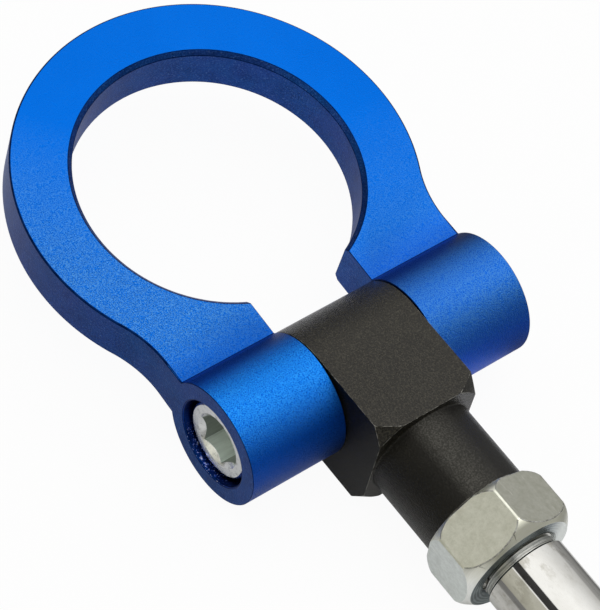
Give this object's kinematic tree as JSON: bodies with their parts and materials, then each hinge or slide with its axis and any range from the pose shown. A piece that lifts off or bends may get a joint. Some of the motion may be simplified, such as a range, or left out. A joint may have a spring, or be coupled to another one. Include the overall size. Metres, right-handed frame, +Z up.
{
  "type": "folding tow hook",
  "caption": "Tow hook with an open round ring on a fork that folds on a pivot bolt, a swivel block, a lock nut and a threaded tow bar.",
  "frame": {"origin": "centre of the bar's shoulder at the tow thread, on the bar's axis", "axes": "+X along the bar towards the ring, +Y along the pivot bolt towards its head, +Z up, the side that the ring is raised to"},
  "size_m": [0.27, 0.082, 0.0276],
  "materials": {
    "blue_anodised": "satin",
    "black_steel": "satin",
    "bright_bolt": "polished",
    "zinc_nut": "satin",
    "polished_steel": "polished"
  },
  "bodies": {
    "shaft": {"tow_shaft": "polished_steel", "lock_nut": "zinc_nut"},
    "head": {"swivel_block": "black_steel"},
    "ring": {"tow_ring": "blue_anodised", "pivot_bolt": "bright_bolt"}
  },
  "joints": [
    {"name": "head_turn", "type": "hinge", "parent": "shaft", "child": "head", "pos_m": [0.1137, 0, 0], "axis": [1, 0, 0], "range_deg": [-180, 180]},
    {"name": "ring_fold", "type": "hinge", "parent": "head", "child": "ring", "pos_m": [0.1526, 0, 0], "axis": [0, -1, 0], "range_deg": [-171.8, 164.2]}
  ]
}
